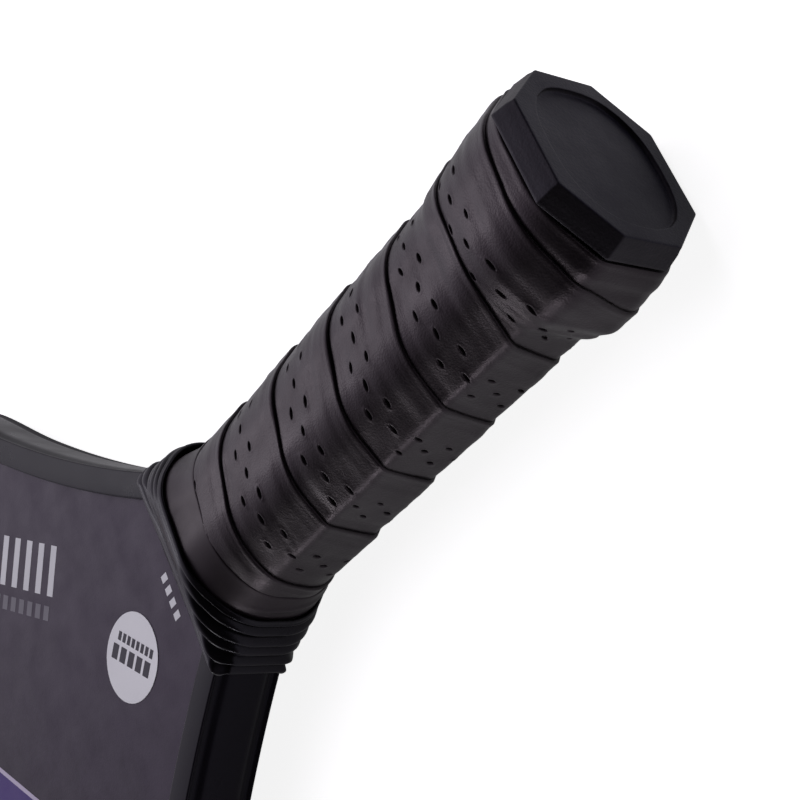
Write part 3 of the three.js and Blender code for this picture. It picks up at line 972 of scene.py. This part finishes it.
def metal_material():
    m = Nodes("staple_steel")
    m.paint(m.noise(300, 4), [(CLOUD_LOW, (0.45, 0.46, 0.48)), (CLOUD_HIGH, (0.62, 0.63, 0.65))])
    m.roughen(900, 3, 0.25, 0.4)
    m.set(Metallic=1.0)
    return m.material


def assign(node, material):
    """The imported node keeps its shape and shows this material."""
    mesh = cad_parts[node].data
    mesh.materials.clear()
    mesh.materials.append(material)


# ------------------------------ build

def build_butt_cap():
    piece = make_piece("butt_cap_moulding", *butt_cap_mesh(), cap_material(), "butt_cap", ["butt_cap"])
    sharpen(piece, 50)


def build_grip():
    make_piece("wound_grip_strip", *grip_wrap_mesh(), wrap_material(), "grip_wrap", ["grip_wrap"])
    vinyl = plastic_material("finishing_tape_vinyl", TAPE_BLACK, 0.45, 1200, 0.1,
                             gloss=0.3, tint=(1, 0.83, 0.96))
    make_piece("finishing_tape_band", *finishing_tape_mesh(), vinyl, "tape", ["finishing_tape"])


def build_collar():
    rubber = plastic_material("collar_rubber", RUBBER_BLACK, 0.3, 1500, 0.06,
                              gloss=0.24, tint=(0.86, 0.82, 1))
    make_piece("ringed_collar", *collar_mesh(), rubber, "collar", ["rubber_collar"])


def build_head():
    plastic = plastic_material("guard_plastic", GUARD_BLACK, 0.3, 1600, 0.05,
                               gloss=0.1, tint=(0.84, 0.8, 1))
    piece = make_piece("edge_guard_channel", *edge_guard_mesh(), plastic, "edge_guard", ["edge_guard"])
    sharpen(piece, 40)
    for node in ("front_face_sheet", "rear_face_sheet"):
        assign(node, face_material(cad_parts[node]))


def build_bands():
    pale = ink_material("ink_pale", (0.66, 0.6, 0.72), (0.5, 0.44, 0.62))
    purple = ink_material("ink_purple", (0.062, 0.03, 0.2), (0.045, 0.022, 0.155), scale=14)
    start, end, last = BAND_SPAN
    for side, face in ((1, "front"), (-1, "rear")):
        slot = f"{face}_face"
        flat_print(f"{face}_band_edge", band_outline(0.0, start), pale, slot, BAND_HEIGHT, side)
        flat_print(f"{face}_band", band_outline(start, end), purple, slot, BAND_HEIGHT, side)
        flat_print(f"{face}_band_far_edge", band_outline(end, last), pale, slot, BAND_HEIGHT, side)


def build_marks():
    white = ink_material("ink_white", (0.78, 0.78, 0.82))
    grey = ink_material("ink_grey", (0.17, 0.16, 0.19))
    dark = ink_material("ink_dark", (0.03, 0.028, 0.04))
    print_row("throat_mark", THROAT_MARKS, white, "front_face")
    print_row("wide_bar", WIDE_BARS, white, "front_face")
    print_row("small_bar", SMALL_BARS, grey, "front_face")
    on_sticker = STICKER_LIFT + INK_HEIGHT
    print_row("sticker_block", STICKER_BLOCKS, dark, "sticker", on_sticker)
    print_row("sticker_tick", STICKER_TICKS, dark, "sticker", on_sticker)
    assign("face_sticker", ink_material("sticker_paper", (0.9, 0.9, 0.94)))


def build_hidden():
    """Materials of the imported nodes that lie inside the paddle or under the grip."""
    honeycomb = plastic_material("honeycomb_polymer", (0.62, 0.64, 0.6), 0.5, 900, 0.1)
    scrim = plastic_material("scrim_veil", (0.55, 0.56, 0.52), 0.8, 2500, 0.4)
    foam = plastic_material("pallet_foam", (0.06, 0.065, 0.075), 0.7, 1100, 0.4)
    tape = plastic_material("tape_film", (0.7, 0.68, 0.6), 0.55, 1400, 0.1)
    steel = metal_material()
    assign("honeycomb_core", honeycomb)
    for node in ("front_bonding_scrim", "rear_bonding_scrim"):
        assign(node, scrim)
    for node in ("front_handle_pallet", "rear_handle_pallet"):
        assign(node, foam)
    for node in ("handle_tape", "edge_guard_tape"):
        assign(node, tape)
    for node in ("cap_staple_left", "cap_staple_right"):
        assign(node, steel)


# ------------------------------ stage, room, lights and camera

FLOOR_HALF = 30.0  # metres
FLOOR_GAP = 0.0002  # metres, under the paddle
FLOOR_GLOW, FLOOR_SEEN_GLOW = 0.22, 0.65  # for all light, and more where the camera sees it
TOUCH_AT = 14  # where the grip's swell touches the floor
ROOM_COLOUR = (1.0, 0.95, 1.06, 1)
ROOM_BRIGHT_SIDE = (0.62, 0.50, 0.60)
ROOM_SPREAD = dict(low=0.45, high=0.99, to_low=0.02, to_high=1.2)
LIT_POINT = (0, 70, 0)  # on the grip
CAMERA_FROM = (-155.71, -120.80, 211.59)  # from the butt end's middle
CAMERA_FORWARD = Vector((0.47761, 0.57271, -0.66625))
CAMERA_UP = Vector((0.80578, -0.58778, 0.07237))
CAMERA_LENS = 79.36


def floor_material():
    m = Nodes("studio_white")
    m.paint(m.noise(3, 2), [(CLOUD_LOW, (0.86, 0.86, 0.87)), (CLOUD_HIGH, (0.88, 0.88, 0.89))])
    m.set(Roughness=0.9, Emission_Color=(1, 1, 1, 1))
    glow = m.node("ShaderNodeMath", operation="MULTIPLY_ADD")
    m.link(m.node("ShaderNodeLightPath").outputs["Is Camera Ray"], glow.inputs[0])
    glow.inputs[1].default_value = FLOOR_SEEN_GLOW
    glow.inputs[2].default_value = FLOOR_GLOW
    m.link(glow.outputs[0], m.shader.inputs["Emission Strength"])
    return m.material


def build_stage():
    """A floor tipped to meet the paddle, which leans on its grip's swell and the guard's far end."""
    half = FLOOR_HALF
    mesh = bpy.data.meshes.new("studio_floor")
    mesh.from_pydata([(-half, -half, 0), (half, -half, 0), (half, half, 0), (-half, half, 0)],
                     [], [(0, 1, 2, 3)])
    mesh.materials.append(floor_material())
    floor = bpy.data.objects.new("studio_floor", mesh)
    bpy.context.scene.collection.objects.link(floor)
    rise = MID_Z - GUARD_Z * MM
    run = (LENGTH - TOUCH_AT) * MM
    pivot = Vector((0, BUTT_Y + TOUCH_AT * MM, 0))
    lean = Matrix.Rotation(math.atan(rise / run), 4, "X")
    floor.matrix_world = Matrix.Translation(pivot) @ lean @ Matrix.Translation((0, 0, -FLOOR_GAP))


def build_world():
    """A pale room, bright over the far +X side and dim elsewhere, and plain white to the camera."""
    world = bpy.data.worlds.new("studio")
    bpy.context.scene.world = world
    world.use_nodes = True
    nodes, links = world.node_tree.nodes, world.node_tree.links
    nodes.clear()
    toward = nodes.new("ShaderNodeVectorMath")
    toward.operation = "DOT_PRODUCT"
    toward.inputs[1].default_value = Vector(ROOM_BRIGHT_SIDE).normalized()
    links.new(nodes.new("ShaderNodeTexCoord").outputs["Generated"], toward.inputs[0])
    level = nodes.new("ShaderNodeMapRange")
    level.interpolation_type = "SMOOTHSTEP"
    level.inputs["From Min"].default_value = ROOM_SPREAD["low"]
    level.inputs["From Max"].default_value = ROOM_SPREAD["high"]
    level.inputs["To Min"].default_value = ROOM_SPREAD["to_low"]
    level.inputs["To Max"].default_value = ROOM_SPREAD["to_high"]
    links.new(toward.outputs["Value"], level.inputs["Value"])
    room = nodes.new("ShaderNodeBackground")
    room.inputs["Color"].default_value = ROOM_COLOUR
    links.new(level.outputs["Result"], room.inputs["Strength"])
    backdrop = nodes.new("ShaderNodeBackground")
    backdrop.inputs["Color"].default_value = (1, 1, 1, 1)
    mix = nodes.new("ShaderNodeMixShader")
    links.new(nodes.new("ShaderNodeLightPath").outputs["Is Camera Ray"], mix.inputs[0])
    links.new(room.outputs[0], mix.inputs[1])
    links.new(backdrop.outputs[0], mix.inputs[2])
    links.new(mix.outputs[0], nodes.new("ShaderNodeOutputWorld").inputs["Surface"])


def soft_light(name, direction, distance, size, watts):
    """A rectangular area light that faces the grip."""
    data = bpy.data.lights.new(name, "AREA")
    data.shape = "RECTANGLE"
    data.size, data.size_y = size
    data.energy = watts
    light = bpy.data.objects.new(name, data)
    bpy.context.scene.collection.objects.link(light)
    away = Vector(direction).normalized()
    light.location = place(*LIT_POINT) + away * distance
    light.rotation_euler = away.to_track_quat("Z", "Y").to_euler()


def build_lights():
    # low beyond the head: streaks along the collar's rings and the laps
    soft_light("rim_light", (-0.38, 0.9, 0.2), distance=1.4, size=(0.55, 0.3), watts=3.2)
    # along the horizon on the near side: glints on the collar's corner
    soft_light("horizon_light", (-0.8, 0.57, 0.08), distance=1.5, size=(0.45, 0.12), watts=3.2)
    # over the far side: the broad highlight along the grip
    soft_light("key_light", (0.5, 0.57, 0.64), distance=1.5, size=(0.5, 0.35), watts=2.4)


def build_camera():
    data = bpy.data.cameras.new("camera")
    data.lens = CAMERA_LENS
    data.sensor_width = 36.0
    data.clip_start = 0.01
    data.clip_end = 200.0
    camera = bpy.data.objects.new("camera", data)
    bpy.context.scene.collection.objects.link(camera)
    forward = CAMERA_FORWARD.normalized()
    right = forward.cross(CAMERA_UP).normalized()
    up = right.cross(forward)
    turn = Matrix((right, up, -forward)).transposed().to_4x4()
    camera.matrix_world = Matrix.Translation(place(*CAMERA_FROM)) @ turn
    bpy.context.scene.camera = camera


build_camera()
build_world()
build_lights()
build_stage()
build_butt_cap()
build_grip()
build_collar()
build_head()
build_bands()
build_marks()
build_hidden()
bpy.context.scene.view_settings.view_transform = "Standard"
